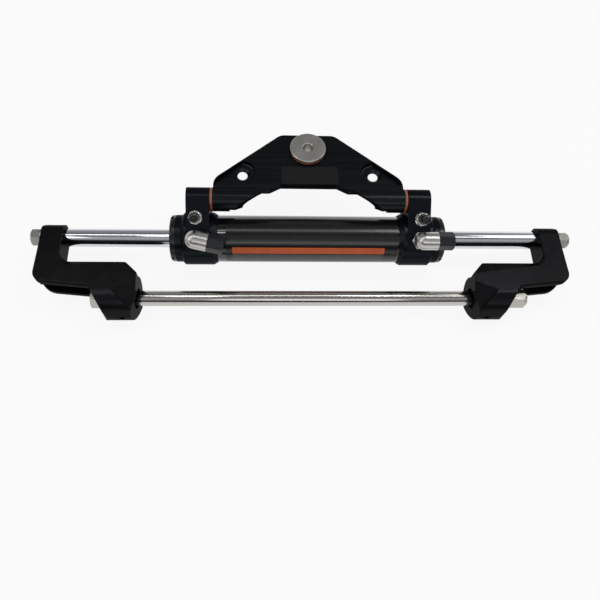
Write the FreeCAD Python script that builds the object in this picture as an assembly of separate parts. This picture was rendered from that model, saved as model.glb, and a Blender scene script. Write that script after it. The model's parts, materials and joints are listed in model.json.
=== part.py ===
# Front mount hydraulic steering cylinder for an outboard engine.
# A barrel slides along a fixed piston rod. The piston rod and a thinner support rod
# are held apart by two end brackets, and the support rod goes through the engine's
# tilt tube. A tiller plate is hinged on the barrel's two ears and carries the spool
# that the tiller bolt goes through.
# Units are millimetres. The origin is the middle of the support rod's axis.
# X runs along both rods, Y points from the support rod to the piston rod, Z is up.
# The brackets' flat top faces and the tiller plate are level, and the ears point up
# and away from the support rod.
import FreeCAD, Part
import math
import os

os.makedirs("parts", exist_ok=True)
V = FreeCAD.Vector
X_AXIS = V(1, 0, 0)
Z_AXIS = V(0, 0, 1)

# General clearances
runFit = 0.05             # radial gap of a shaft that turns or slides
seatFit = 0.05            # radial gap of two pieces that are fitted together
sideGap = 0.15            # gap beside a face that turns against another
hexTurnDown = 0.97        # end circle of a hexagon, as a share of its flats
hexBevelAngle = 30.0      # slope of a hexagon's turned corners, degrees
flatUp = 30.0             # turns a hexagon about its axis, degrees

# Rods and fasteners
rodSpacing = 65.7         # support rod axis to piston rod axis, along Y
supportRodRadius = 7.94
pistonRodRadius = 9.52
studRadius = 6.2          # reduced ends of both rods
rodShoulderDepth = 7.0    # how far a full rod goes into its bracket
rodSeatGap = 2.8          # recess around the support rod in a boss's inner end
rodSeatDepth = 3.6
washerRise = 0.9          # washer's rim beyond the nut's flats
washerThickness = 1.8
nutFlats = 19.0           # support rod nuts, across flats
thinNutHeight = 9.0
tallNutHeight = 22.0
rodNutFlats = 16.8        # piston rod nuts, across flats
rodNutHeight = 9.6
nutDomeHeight = 3.6
leftDomeHeight = 1.0      # collar of the left piston rod nut

# End brackets, written for the right-hand side
bracketBossRadius = 22.3
bossInnerX = 172.0        # half the length between the bosses, for the tilt tube
bossFrontLength = 31.2    # boss's inner end to the front end of the slanted flank
bossRearLength = 46.4     # boss's inner end to the rear end of the slanted flank
flankY = 3.2
frontSlopeY = 8.8         # where the front edge meets the outer side
travelGap = 5.6           # gland to leg at the end of the stroke
legWidth = 21.9
legFlare = 1.6            # the outer side leans out from the leg to the outer corner
legThickness = 26.2       # the far end is a full round about the piston rod
legEdge = 1.0             # chamfer on the leg's inner top edge
armBackY = 34.0
armBackInset = 13.5
bossCornerY = 18.5
bossFrontBevel = 5.5
bossFrontRadius = 8.0
outerCornerRadius = 12.0
lowerCornerRadius = 21.0
insideCornerRadius = 9.0
legEndChamfer = 5.5
frontEdgeRadius = 2.6     # rounded front edge of the top face
creaseOuterY = 27.5
creaseInnerY = 17.5
backBevelDrop = 7.0
cornerSteps = 9           # flats in the bevel around the inside corner
topFlange = 5.6
bottomFlange = 4.4
webFrontY = 17.5
nutSeatDepth = 36.0       # boss's inner end to the washer's seat
nutPocketGap = 2.23       # nut's corners to the pocket's wall
facetStart = 24.5         # milled facet on the boss: plan points from its inner end
facetEnd = 4.3
facetEndY = -19.8
facetTop = 3.0
facetTopY = 8.6
drainRadius = 2.9         # small hole in the front of each boss
drainDepth = 6.0
drainInset = 14.5

# Barrel assembly, written about its own middle and for its right-hand end
barrelPark = 2.1          # where the barrel is parked along the rods
barrelRadius = 24.5
barrelWall = 5.45
stroke = 203.2
strokeStop = 0.3          # left at both ends of the stroke
blockRise = 3.0           # end block's rim beyond the barrel
blockLead = 7.5           # end block's inner end to its ear
blockTail = 5.8           # ear to the end block's outer face
blockNeck = 6.0
blockInnerChamfer = 4.5
blockOuterChamfer = 3.0
blockNeckStep = 2.9
tubeSpigotStep = 3.0
tubeSpigotReach = 8.0     # how far the tube goes in past the ear's inner face
hingeGap = 3.0            # plate's end to the ear
earWidth = 23.8
earTilt = 32.5            # slope of the ears above level, degrees
pivotClear = 0.4          # along the ear, block's rim and bush flange to the pivot axis
earFaceDrop = 2.0         # ear's flat face below the block's rim
portInset = 14.0          # ear's inner face to the port and the bleeder
portGap = 0.2             # port to the elbow's stem
portThroat = 2.2
bleederReach = 21.8       # barrel axis to bleeder along the ear
bleederHoleRadius = 3.6
bleederHoleDepth = 11.0

# Gland nuts and seals
glandInset = 19.0         # ear's inner face to the gland's inner shoulder
glandFlange = 5.8
glandStep = 1.95          # gland's threaded body beyond the bore
glandFlangeStep = 0.3     # gland's flange inside the block's neck
glandNoseWall = 3.88
glandEdge = 2.2
glandBoreGap = 0.08
spannerSlots = 6
spannerWidth = 5.0
spannerDepth = 1.6
sealSection = 4.4
sealWidth = 6.0
sealInset = 4.0           # gland's inner shoulder to the rod seal
wiperWidth = 5.0
wiperSection = 3.4
oRingSection = 1.6
oRingInset = 3.0

# Piston
pistonWidth = 25.0
pistonGap = 0.2           # piston to bore
ringGroovesX = (-4.6, 4.6)
sealGrooveDepth = 3.4
sealGrooveWidth = 4.4
retainerWidth = 2.0
retainerRise = 2.6

# Tiller plate, written about the pivot axis
plateHalfLength = 99.0
plateTubeRadius = 12.0
earRise = 0.4             # ears and bush flanges beyond the tube
leafThickness = 8.0
leafRise = 7.0            # leaf's top above the pivot axis
plateReach = 79.3
plateTipHalf = 28.9
plateEndDepth = 21.4      # slanted edge at the plate's end
plateTipRadius = 12.0
plateEndRadius = 16.0
valleyRadius = 3.0
knuckleLength = 16.8      # part of the tube that is round all the way
waistFoot = (22.0, -12.5)      # waist outline: from the plate's end, from the pivot axis
waistShoulder = (33.0, -7.6)
waistBulge = (45.5, -0.9)
waistKnee = (58.0, 8.6)
waistTop = (69.5, 15.0)
mountHoleInset = 29.8
mountHoleY = 30.5
mountHoleRadius = 5.25
mountSinkRadius = 8.0
pocketRadius = 13.8
pocketDepth = 4.8
pocketFillet = 2.4
pocketTurn = 3.0          # slant of the recess's near side, degrees
pocketRim = 1.2           # wall that is left between the recess and the plate's edge

# Pivot pins and bushes
pinRadius = 6.35
pinHeadRadius = 10.0
pinHeadDepth = 6.5
pinEngagement = 14.0      # how far a pin goes into the plate's tube
bushWall = 2.2

# Tiller spool
spoolInset = 20.6         # plate's far edge to the spool's axis
spoolSleeveRadius = 9.5
spoolBoreRadius = 4.9
spoolFlangeRadius = 19.0
spoolFlangeThickness = 2.7
spoolBushWall = 3.0
spoolBushFlange = 3.1
spoolEdge = 0.9

# Ports, elbows, caps and bleeders
elbowStemRadius = 5.2
jamNutFlats = 17.0
jamNutHeight = 5.4
elbowRadius = 9.2
elbowShankRadius = 8.4
elbowArm = 13.3
elbowLeftTurn = -11.6     # outlet of the left elbow, degrees about its stem
elbowRightTurn = 0.0
noseRadius = 5.9
noseLength = 10.0
capFlats = 16.2
capLength = 16.3
capWall = 2.2
bleederFlats = 12.2
bleederHexHeight = 6.4
bleederCollarRadius = 6.9
bleederCollar = 1.2
bleederNeckRadius = 2.9
bleederNeckLength = 13.0
bleederCapRadius = 4.8
bleederCapLength = 17.5
bleederCapWall = 1.7

# Derived sizes and places
boreRadius = barrelRadius - barrelWall
tubeSpigotRadius = barrelRadius - tubeSpigotStep
endBlockRadius = barrelRadius + blockRise
blockNeckRadius = endBlockRadius - blockNeckStep
glandBodyRadius = boreRadius + glandStep
glandFlangeRadius = blockNeckRadius - glandFlangeStep
glandNoseRadius = pistonRodRadius + glandNoseWall
washerRadius = nutFlats / 2 + washerRise
nutPocketRadius = nutFlats / math.sqrt(3) + nutPocketGap
portRadius = elbowStemRadius + portGap
earRadius = plateTubeRadius + earRise
bushFlangeRadius = plateTubeRadius + earRise
earFace = endBlockRadius - earFaceDrop
pivotLift = earFace - earRadius
pivotReach = endBlockRadius + bushFlangeRadius + pivotClear
spoolY = plateReach - spoolInset
pistonZ = bracketBossRadius - legThickness / 2
earInnerX = plateHalfLength + hingeGap
earOuterX = earInnerX + earWidth
blockInnerX = earInnerX - blockLead
blockOuterX = earOuterX + blockTail
blockNeckX = blockOuterX + blockNeck
tubeSpigotEndX = earInnerX + tubeSpigotReach
portX = earInnerX + portInset
glandInnerX = earInnerX + glandInset
glandOuterX = blockNeckX + glandFlange
sealX = glandInnerX + sealInset
oRingX = glandInnerX + oRingInset
legInnerX = glandOuterX + stroke / 2 + travelGap
legOuterX = legInnerX + legWidth
legCornerX = legOuterX + legFlare
bossOuterX = bossInnerX + bossFrontLength
flankX = bossInnerX + bossRearLength
armBackInnerX = bossInnerX + armBackInset
nutSeatX = bossInnerX + nutSeatDepth
mountHoleX = plateHalfLength - mountHoleInset
legBottomZ = bracketBossRadius - legThickness
legEndRadius = legThickness / 2
flankSlope = (flankX - bossOuterX) / (flankY + bracketBossRadius)
tilt = math.radians(earTilt)
alongEar = V(0, math.cos(tilt), math.sin(tilt))
offEar = V(0, -math.sin(tilt), math.cos(tilt))
barrelAxis = V(0, rodSpacing, pistonZ)
pivotAxis = barrelAxis + alongEar * pivotReach + offEar * pivotLift
bushFlange = hingeGap - 2 * sideGap
stopHalf = stroke / 2 + strokeStop + pistonWidth / 2
bushOuterRadius = pinRadius + runFit + bushWall


def save(name, shape):
    """Writes one named piece."""
    shape.exportStep("parts/" + name + ".step")


def group(solids):
    """Separate like pieces that share one name."""
    return Part.makeCompound(solids)


def rodX(radius, x0, x1, y=0.0, z=0.0):
    """Round bar along X."""
    return Part.makeCylinder(radius, x1 - x0, V(x0, y, z), X_AXIS)


def hexPrism(flats, length, base, axis, turn=0.0):
    """Hexagonal bar with its corners turned down at both ends."""
    corner = flats / math.sqrt(3)
    ring = [V(corner * math.cos(math.radians(60 * k + turn)),
              corner * math.sin(math.radians(60 * k + turn)), 0) for k in range(7)]
    prism = Part.Face(Part.makePolygon(ring)).extrude(V(0, 0, length))
    start = flats / 2 * hexTurnDown
    wide = start + length / math.tan(math.radians(hexBevelAngle))
    low = Part.makeCone(start, wide, length, V(0, 0, 0), Z_AXIS)
    high = Part.makeCone(wide, start, length, V(0, 0, 0), Z_AXIS)
    prism = prism.common(low).common(high)
    prism.Placement = FreeCAD.Placement(base, FreeCAD.Rotation(Z_AXIS, axis))
    return prism


def spin(points, base, axis):
    """Turned piece from a closed outline of (radius, height) points."""
    outline = [V(r, 0, h) for r, h in points]
    face = Part.Face(Part.makePolygon(outline + [outline[0]]))
    solid = face.revolve(V(0, 0, 0), Z_AXIS, 360)
    solid.Placement = FreeCAD.Placement(base, FreeCAD.Rotation(Z_AXIS, axis))
    return solid


def ringX(outer, inner, x0, x1, centre):
    """Plain ring along X."""
    body = rodX(outer, x0, x1, centre.y, centre.z)
    return body.cut(rodX(inner, x0 - 1, x1 + 1, centre.y, centre.z))


def prismZ(points, z0, z1):
    """Plan outline raised from one level to another."""
    outline = [V(x, y, z0) for x, y in points]
    face = Part.Face(Part.makePolygon(outline + [outline[0]]))
    return face.extrude(V(0, 0, z1 - z0))


def roundPlanCorner(solid, x, y, radius):
    """Rounds the upright edge that stands at one plan point."""
    edges = [e for e in solid.Edges if len(e.Vertexes) == 2
             and abs(e.Vertexes[0].X - x) + abs(e.Vertexes[0].Y - y) < 0.01
             and abs(e.Vertexes[1].X - x) + abs(e.Vertexes[1].Y - y) < 0.01]
    return solid.makeFillet(radius, edges)


def mirrored(shape):
    """The same piece for the left-hand end."""
    return shape.mirror(V(0, 0, 0), X_AXIS)


def onBarrel(shape):
    """Moves a piece written about the barrel's middle to where it is parked."""
    moved = shape.copy()
    moved.translate(V(barrelPark, 0, 0))
    return moved


def bothEnds(name, maker):
    """Saves a mirrored pair of barrel pieces."""
    right = maker()
    save(name + "_right", onBarrel(right))
    save(name + "_left", onBarrel(mirrored(right)))


def armPlan(z0, z1, cornerRadius):
    """Plan outline of the arm and leg as an upright prism."""
    farY = rodSpacing + legEndRadius
    points = [(bossInnerX, bossCornerY), (bossInnerX, 0), (flankX - flankSlope * flankY, 0),
              (flankX, flankY), (legCornerX, frontSlopeY), (legOuterX, rodSpacing - legEndRadius),
              (legOuterX, farY - legEndChamfer),
              (legOuterX - legEndChamfer, farY), (legInnerX, farY), (legInnerX, armBackY),
              (armBackInnerX, armBackY)]
    solid = prismZ(points, z0, z1)
    solid = roundPlanCorner(solid, legCornerX, frontSlopeY, cornerRadius)
    solid = roundPlanCorner(solid, legInnerX, armBackY, insideCornerRadius)
    return roundPlanCorner(solid, armBackInnerX, armBackY, insideCornerRadius / 2)


def armProfile():
    """Side outline of the arm: flat top and bottom and a full-round far end."""
    x0 = bossInnerX - 5
    length = legCornerX + 5 - x0
    arm = Part.makeBox(length, rodSpacing, legThickness, V(x0, 0, legBottomZ))
    end = Part.makeCylinder(legEndRadius, length, V(x0, rodSpacing, pistonZ), X_AXIS)
    return arm.fuse(end).removeSplitter()


def boss():
    """Round boss for the support rod, with its slanted outer flank."""
    size = bracketBossRadius
    front = -size
    points = [(bossInnerX, size), (bossInnerX, 0), (bossInnerX + bossFrontBevel, front),
              (bossOuterX, front), (flankX + flankSlope * (size - flankY), size)]
    plan = prismZ(points, -size - 1, size + 1)
    plan = roundPlanCorner(plan, bossOuterX, front, bossFrontRadius)
    return plan.common(rodX(size, bossInnerX, legOuterX))


def frontEdgeCutter():
    """Rounds the top face's front edge, which runs at a slight angle to X."""
    r = frontEdgeRadius
    run = V(legCornerX - flankX, frontSlopeY - flankY, 0)
    length = run.Length + outerCornerRadius
    block = Part.makeBox(length, 2 * r, 2 * r, V(0, -r, -r))
    block = block.cut(Part.makeCylinder(r, length, V(0, r, -r), X_AXIS))
    block.rotate(V(0, 0, 0), Z_AXIS, math.degrees(math.atan2(run.y, run.x)))
    block.translate(V(flankX, flankY, bracketBossRadius))
    return block


def bevelWedge(width, drop):
    """Section of what is cut off a top edge: (distance into the solid, height) points."""
    lean = width / drop
    top = bracketBossRadius
    return [(width + lean, top + 1), (-lean, top - drop - 1), (-lean, top + 1)]


def backBevel():
    """Bevel along the rear top edge: wide at the boss, narrow around the corner and the leg."""
    centre = V(legInnerX - insideCornerRadius, armBackY + insideCornerRadius, 0)
    wide = armBackY - creaseOuterY
    sections = []
    for x, crease in ((bossInnerX - 6, creaseInnerY), (centre.x, creaseOuterY)):
        sections.append([V(x, armBackY - d, z) for d, z in bevelWedge(armBackY - crease, backBevelDrop)])
    for k in range(1, cornerSteps + 1):
        share = k / cornerSteps
        ease = (1 + math.cos(math.pi * share)) / 2
        wedge = bevelWedge(legEdge + (wide - legEdge) * ease, legEdge + (backBevelDrop - legEdge) * ease)
        angle = math.radians(90 * share)
        out = V(math.sin(angle), -math.cos(angle), 0)
        sections.append([centre + out * (insideCornerRadius + d) + V(0, 0, z) for d, z in wedge])
    sections.append([V(legInnerX + d, rodSpacing, z) for d, z in bevelWedge(legEdge, legEdge)])
    return Part.makeLoft([Part.makePolygon(ring + [ring[0]]) for ring in sections], True, True)


def facetCutter():
    """Room above the flat that is milled across the boss's inner end."""
    start = V(bossInnerX + facetStart, 0, bracketBossRadius)
    upper = V(bossInnerX + facetTop, facetTopY, bracketBossRadius)
    fall = math.sqrt(bracketBossRadius ** 2 - facetEndY ** 2)
    end = V(bossInnerX + facetEnd, facetEndY, fall)
    normal = (end - start).cross(upper - start)
    if normal.z < 0:
        normal = -normal
    normal.normalize()
    size = bracketBossRadius * 5
    block = Part.makeBox(size, size, size, V(-size / 2, -size / 2, 0))
    block.Placement = FreeCAD.Placement(start, FreeCAD.Rotation(Z_AXIS, normal))
    reach = (end - start) * 1.6
    plan = [(start.x - reach.x * 0.3, start.y - reach.y * 0.3),
            (start.x + reach.x, start.y + reach.y),
            (bossInnerX - bracketBossRadius, start.y + reach.y),
            (bossInnerX - bracketBossRadius, armBackY)]
    return prismZ(plan, -bracketBossRadius, bracketBossRadius * 2).common(block)


def bracket(stackHeight):
    """One end bracket. stackHeight is the nut and washer that its pocket clears."""
    arm = armPlan(-bracketBossRadius - 1, bracketBossRadius + 1, outerCornerRadius)
    arm = arm.common(armProfile()).cut(frontEdgeCutter()).cut(backBevel())
    body = arm.fuse(boss()).removeSplitter()
    body = body.cut(facetCutter())
    webX = legCornerX + 5
    pocketLow = legBottomZ + bottomFlange
    pocketHigh = bracketBossRadius - topFlange
    pocket = Part.makeBox(webX - nutSeatX, bracketBossRadius * 2 + webFrontY, pocketHigh - pocketLow,
                          V(nutSeatX, -bracketBossRadius * 2, pocketLow))
    keep = Part.makeCylinder(bracketBossRadius + 1, flankX - nutSeatX + 1, V(nutSeatX - 1, 0, 0), X_AXIS)
    front = Part.makeBox(flankX - nutSeatX, bracketBossRadius + 1, bracketBossRadius * 2,
                         V(nutSeatX, -bracketBossRadius - 1, -bracketBossRadius))
    pocket = pocket.cut(keep.common(front))
    body = body.cut(pocket)
    lower = Part.makeBox(webX - flankX, webFrontY + bracketBossRadius, bottomFlange + 2,
                         V(flankX, -bracketBossRadius, legBottomZ - 1))
    trimmed = lower.cut(armPlan(legBottomZ - 2, pocketLow + 2, lowerCornerRadius))
    body = body.cut(trimmed)
    body = body.cut(rodX(nutPocketRadius, nutSeatX, nutSeatX + stackHeight))
    body = body.cut(rodX(studRadius + seatFit, bossInnerX - 1, nutSeatX + 1))
    body = body.cut(rodX(supportRodRadius + seatFit, bossInnerX - 1, bossInnerX + rodShoulderDepth))
    body = body.cut(rodX(supportRodRadius + rodSeatGap, bossInnerX - 1, bossInnerX + rodSeatDepth))
    body = body.cut(rodX(studRadius + seatFit, legInnerX - 1, legOuterX + 1, rodSpacing, pistonZ))
    body = body.cut(rodX(pistonRodRadius + seatFit, legInnerX - 1, legInnerX + rodShoulderDepth,
                         rodSpacing, pistonZ))
    drain = Part.makeCylinder(drainRadius, drainDepth + 5, V(bossInnerX + drainInset, -bracketBossRadius - 5, 0),
                              V(0, 1, 0))
    return body.cut(drain)


def steppedRod(radius, half, studEnd):
    """Rod with a reduced stud at both ends."""
    body = rodX(radius, -half, half)
    return body.fuse([rodX(studRadius, -studEnd, -half), rodX(studRadius, half, studEnd)])


def domedNut(flats, height, dome):
    """Hexagon nut with a rounded collar, standing on z = 0 and bored for the stud."""
    body = hexPrism(flats, height, V(0, 0, 0), Z_AXIS, flatUp)
    if dome > 0:
        r = flats / 2 - 0.6
        collar = [(0, height - 1), (r, height - 1), (r, height + dome * 0.45),
                  (r - dome * 0.25, height + dome * 0.8), (r - dome * 0.7, height + dome), (0, height + dome)]
        body = body.fuse(spin(collar, V(0, 0, 0), Z_AXIS))
    return body.cut(Part.makeCylinder(studRadius + seatFit, height + dome + 2, V(0, 0, -1), Z_AXIS))


def placedOnX(shape, x, side, y=0.0, z=0.0):
    """Turns a piece that stands on z = 0 to stand on an upright face, facing outwards."""
    moved = shape.copy()
    moved.Placement = FreeCAD.Placement(V(side * x, y, z), FreeCAD.Rotation(Z_AXIS, V(side, 0, 0)))
    return moved


def washer():
    body = Part.makeCylinder(washerRadius, washerThickness)
    return body.cut(Part.makeCylinder(studRadius + seatFit, washerThickness + 2, V(0, 0, -1), Z_AXIS))


def barrelTube():
    """Honed tube with a spigot at both ends."""
    end = tubeSpigotEndX - seatFit
    body = rodX(barrelRadius, -blockInnerX, blockInnerX, rodSpacing, pistonZ)
    body = body.fuse(rodX(tubeSpigotRadius, -end, end, rodSpacing, pistonZ)).removeSplitter()
    return body.cut(rodX(boreRadius, -end - 1, end + 1, rodSpacing, pistonZ))


def earOutline():
    """Closed wire around the barrel boss and the pivot boss, square to X."""
    big = endBlockRadius - 0.4
    small = earRadius
    dx, dy = pivotReach, pivotLift
    span = math.hypot(dx, dy)
    lean = math.atan2(dy, dx) - math.acos((big - small) / span)
    touchBig = (big * math.cos(lean), big * math.sin(lean))
    touchSmall = (dx + small * math.cos(lean), dy + small * math.sin(lean))
    half = math.sqrt(big ** 2 - earFace ** 2)
    tip = (dx + small * math.cos((lean + math.pi / 2) / 2), dy + small * math.sin((lean + math.pi / 2) / 2))
    back = (-big * math.cos(0.6), -big * math.sin(0.6))

    def at(p):
        return barrelAxis + alongEar * p[0] + offEar * p[1] + X_AXIS * earInnerX

    edges = [Part.LineSegment(at((-half, earFace)), at((dx, earFace))).toShape(),
             Part.Arc(at((dx, earFace)), at(tip), at(touchSmall)).toShape(),
             Part.LineSegment(at(touchSmall), at(touchBig)).toShape(),
             Part.Arc(at(touchBig), at(back), at((-half, earFace))).toShape()]
    return Part.Wire(edges)


def endBlock():
    """End block with its ear, ports and threads' bores."""
    inner = blockInnerX
    boss = spin([(0, inner), (barrelRadius + 0.2, inner), (endBlockRadius, inner + blockInnerChamfer),
                 (endBlockRadius, blockOuterX - blockOuterChamfer), (blockNeckRadius, blockOuterX),
                 (blockNeckRadius, blockNeckX), (0, blockNeckX)], V(0, rodSpacing, pistonZ), X_AXIS)
    ear = Part.Face(earOutline()).extrude(X_AXIS * (earOuterX - earInnerX))
    flat = Part.makeBox(earOuterX - earInnerX, endBlockRadius * 2, 10)
    flat.Placement = FreeCAD.Placement(
        barrelAxis + offEar * earFace - alongEar * endBlockRadius + X_AXIS * earInnerX,
        FreeCAD.Rotation(X_AXIS, earTilt))
    body = boss.cut(flat).fuse(ear).removeSplitter()
    y, z = rodSpacing, pistonZ
    body = body.cut(rodX(tubeSpigotRadius + seatFit, inner - 1, tubeSpigotEndX, y, z))
    body = body.cut(rodX(boreRadius, inner - 1, glandInnerX, y, z))
    body = body.cut(rodX(glandBodyRadius + seatFit, glandInnerX, blockNeckX + 1, y, z))
    portBase = barrelAxis + X_AXIS * portX
    body = body.cut(Part.makeCylinder(portThroat, earFace + 1, portBase, offEar))
    body = body.cut(Part.makeCylinder(portRadius, earFace - boreRadius, portBase + offEar * (boreRadius + 2),
                                      offEar))
    bleedBase = portBase + alongEar * bleederReach
    body = body.cut(Part.makeCylinder(bleederHoleRadius, bleederHoleDepth + 1,
                                      bleedBase + offEar * (earFace - bleederHoleDepth), offEar))
    pinHole = rodX(pinRadius + seatFit, earInnerX - 1, earOuterX + 1, pivotAxis.y, pivotAxis.z)
    sink = rodX(pinHeadRadius + 0.4, earOuterX - pinHeadDepth, earOuterX + 1, pivotAxis.y, pivotAxis.z)
    return body.cut(pinHole).cut(sink)


def glandNut():
    """Threaded gland with a spanner-slotted flange and grooves for its seals."""
    nose = stopHalf
    edge = glandEdge
    y, z = rodSpacing, pistonZ
    flangeX = blockNeckX + seatFit
    body = spin([(0, nose), (glandNoseRadius, nose), (glandNoseRadius, glandInnerX + seatFit),
                 (glandBodyRadius, glandInnerX + seatFit), (glandBodyRadius, flangeX),
                 (glandFlangeRadius, flangeX), (glandFlangeRadius, glandOuterX - edge),
                 (glandFlangeRadius - edge * 0.35, glandOuterX - edge * 0.35),
                 (glandFlangeRadius - edge, glandOuterX), (0, glandOuterX)], V(0, y, z), X_AXIS)
    body = body.cut(rodX(pistonRodRadius + glandBoreGap, nose - 1, glandOuterX + 1, y, z))
    body = body.cut(rodX(pistonRodRadius + sealSection + seatFit, sealX, sealX + sealWidth, y, z))
    body = body.cut(rodX(pistonRodRadius + wiperSection + seatFit, glandOuterX - wiperWidth,
                         glandOuterX + 1, y, z))
    body = body.cut(ringX(glandBodyRadius + 1, glandBodyRadius - oRingSection, oRingX,
                          oRingX + oRingSection * 1.4, barrelAxis))
    for k in range(spannerSlots):
        slot = Part.makeBox(glandOuterX - flangeX + 2, spannerWidth, spannerDepth + 4,
                            V(flangeX + edge, -spannerWidth / 2, glandFlangeRadius - spannerDepth))
        slot.rotate(V(0, 0, 0), X_AXIS, 360 / spannerSlots * (k + 0.5))
        slot.translate(V(0, y, z))
        body = body.cut(slot)
    return body


def rodSeal():
    """Lip seal in the gland."""
    return ringX(pistonRodRadius + sealSection, pistonRodRadius + runFit, sealX + seatFit,
                 sealX + sealWidth - seatFit, barrelAxis)


def rodWiper():
    """Wiper ring in the gland's outer face."""
    x1 = glandOuterX + 0.6
    outer = pistonRodRadius + wiperSection
    inner = pistonRodRadius + runFit
    points = [(inner, glandOuterX - wiperWidth + seatFit), (outer, glandOuterX - wiperWidth + seatFit),
              (outer, glandOuterX), (inner + 1.0, x1), (inner, x1)]
    return spin(points, V(0, rodSpacing, pistonZ), X_AXIS)


def glandORing():
    """Static seal around the gland."""
    return ringX(glandBodyRadius, glandBodyRadius - oRingSection + seatFit, oRingX + seatFit,
                 oRingX + oRingSection * 1.4 - seatFit, barrelAxis)


def piston():
    """Piston with two grooves for its seals."""
    half = pistonWidth / 2
    outer = boreRadius - pistonGap
    body = ringX(outer, pistonRodRadius + seatFit, -half, half, barrelAxis)
    for x in ringGroovesX:
        groove = ringX(outer + 1, outer - sealGrooveDepth, x - sealGrooveWidth / 2,
                       x + sealGrooveWidth / 2, barrelAxis)
        body = body.cut(groove)
    return body


def pistonRetainers():
    """Split rings that hold the piston on its rod, in grooves of the rod."""
    rings = []
    for side in (-1, 1):
        x0 = side * (pistonWidth / 2 - retainerWidth / 2 - 1.0) - retainerWidth / 2
        rings.append((x0, x0 + retainerWidth))
    return rings


def pistonSeal(index):
    """One seal that fills its groove and runs in the bore."""
    x = ringGroovesX[index]
    inner = boreRadius - pistonGap - sealGrooveDepth + runFit
    half = sealGrooveWidth / 2 - sideGap / 2
    return ringX(boreRadius - runFit, inner, x - half, x + half, barrelAxis)


def plateOutline(z0, z1):
    """Leaf of the tiller plate, from the pivot axis to its far edge."""
    end = plateHalfLength
    points = [(-end, 0), (end, 0), (end, plateEndDepth), (plateTipHalf, plateReach),
              (-plateTipHalf, plateReach), (-end, plateEndDepth)]
    leaf = prismZ(points, z0, z1)
    for side in (-1, 1):
        leaf = roundPlanCorner(leaf, side * end, plateEndDepth, plateEndRadius)
        leaf = roundPlanCorner(leaf, side * plateTipHalf, plateReach, plateTipRadius)
    return leaf


def waistPoint(place, side, z):
    """Point of the waist's outline, given as distances from the plate's end and the pivot axis."""
    return V(side * (plateHalfLength - place[0]), place[1], z)


def waistCutter():
    """Waist that is cut out of the tube and the leaf between the two hinge knuckles."""
    z = -plateTubeRadius - 1
    outline = []
    for side in (1, -1):
        foot, shoulder, bulge, knee, top = [
            waistPoint(place, side, z) for place in (waistFoot, waistShoulder, waistBulge, waistKnee, waistTop)]
        outline.append(Part.LineSegment(foot, shoulder).toShape())
        outline.append(Part.Arc(shoulder, bulge, knee).toShape())
        outline.append(Part.LineSegment(knee, top).toShape())
    outline.append(Part.LineSegment(waistPoint(waistTop, 1, z), waistPoint(waistTop, -1, z)).toShape())
    outline.append(Part.LineSegment(waistPoint(waistFoot, 1, z), waistPoint(waistFoot, -1, z)).toShape())
    face = Part.Face(Part.Wire(Part.__sortEdges__(outline)))
    return face.extrude(V(0, 0, plateTubeRadius * 2 + 2))


def platePocket(side, leaf):
    """Milled recess around a mounting hole, with a thin wall left along the leaf's edge."""
    floor = leafRise - pocketDepth
    disc = Part.makeCylinder(pocketRadius, pocketDepth + 5, V(0, 0, floor), Z_AXIS)
    rim = [e for e in disc.Edges if abs(e.BoundBox.ZMax - floor) < 0.01 and e.Length > pocketRadius]
    disc = disc.makeFillet(pocketFillet, rim)
    run = Part.makeBox(plateHalfLength, pocketRadius * 2.6, pocketDepth + 5, V(0, -pocketRadius, floor))
    base = [e for e in run.Edges if abs(e.BoundBox.ZMax - floor) < 0.01
            and abs(e.BoundBox.YMax + pocketRadius) < 0.01]
    run = run.makeFillet(pocketFillet, base)
    run.rotate(V(0, 0, 0), Z_AXIS, -pocketTurn)
    recess = disc.fuse(run)
    recess.translate(V(mountHoleX, mountHoleY, 0))
    upper = [f for f in leaf.Faces if f.BoundBox.ZMin > leafRise - 0.01][0]
    inside = upper.makeOffset2D(-pocketRim)
    inside.translate(V(0, 0, -pocketDepth - 1))
    recess = recess.common(inside.extrude(V(0, 0, pocketDepth * 2)))
    return recess if side > 0 else mirrored(recess)


def tillerPlate():
    """Extruded plate with a hinge tube along its front edge."""
    low = leafRise - leafThickness
    half = plateHalfLength
    leaf = plateOutline(low, leafRise)
    tube = Part.makeCylinder(plateTubeRadius, 2 * half, V(-half, 0, 0), X_AXIS)
    reach = math.sqrt((plateTubeRadius + valleyRadius) ** 2 - (leafRise + valleyRadius) ** 2)
    fill = Part.makeBox(2 * half, reach, valleyRadius, V(-half, 0, leafRise))
    groove = Part.makeCylinder(valleyRadius, 2 * half + 2, V(-half - 1, reach, leafRise + valleyRadius), X_AXIS)
    under = half - knuckleLength
    below = Part.makeBox(2 * under, plateTubeRadius * 2 + 2, plateTubeRadius,
                         V(-under, -plateTubeRadius - 1, low - plateTubeRadius))
    body = leaf.fuse([tube.cut(below), fill.cut(groove)]).removeSplitter()
    body = body.cut(waistCutter())
    body = body.cut(rodX(bushOuterRadius + seatFit, -half - 1, half + 1))
    sinkDepth = mountSinkRadius - mountHoleRadius
    floor = leafRise - pocketDepth
    for side in (-1, 1):
        x = side * mountHoleX
        body = body.cut(platePocket(side, leaf))
        body = body.cut(Part.makeCylinder(mountHoleRadius, leafThickness + 2, V(x, mountHoleY, low - 1), Z_AXIS))
        body = body.cut(Part.makeCone(mountHoleRadius, mountSinkRadius + 0.1, sinkDepth + 0.1,
                                      V(x, mountHoleY, floor - sinkDepth), Z_AXIS))
    spoolHole = spoolSleeveRadius + runFit + spoolBushWall + seatFit
    return body.cut(Part.makeCylinder(spoolHole, leafThickness + 2, V(0, spoolY, low - 1), Z_AXIS))


def onPlate(shape):
    """Moves a piece written about the pivot axis to its place."""
    moved = shape.copy()
    moved.translate(V(barrelPark, pivotAxis.y, pivotAxis.z))
    return moved


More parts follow.
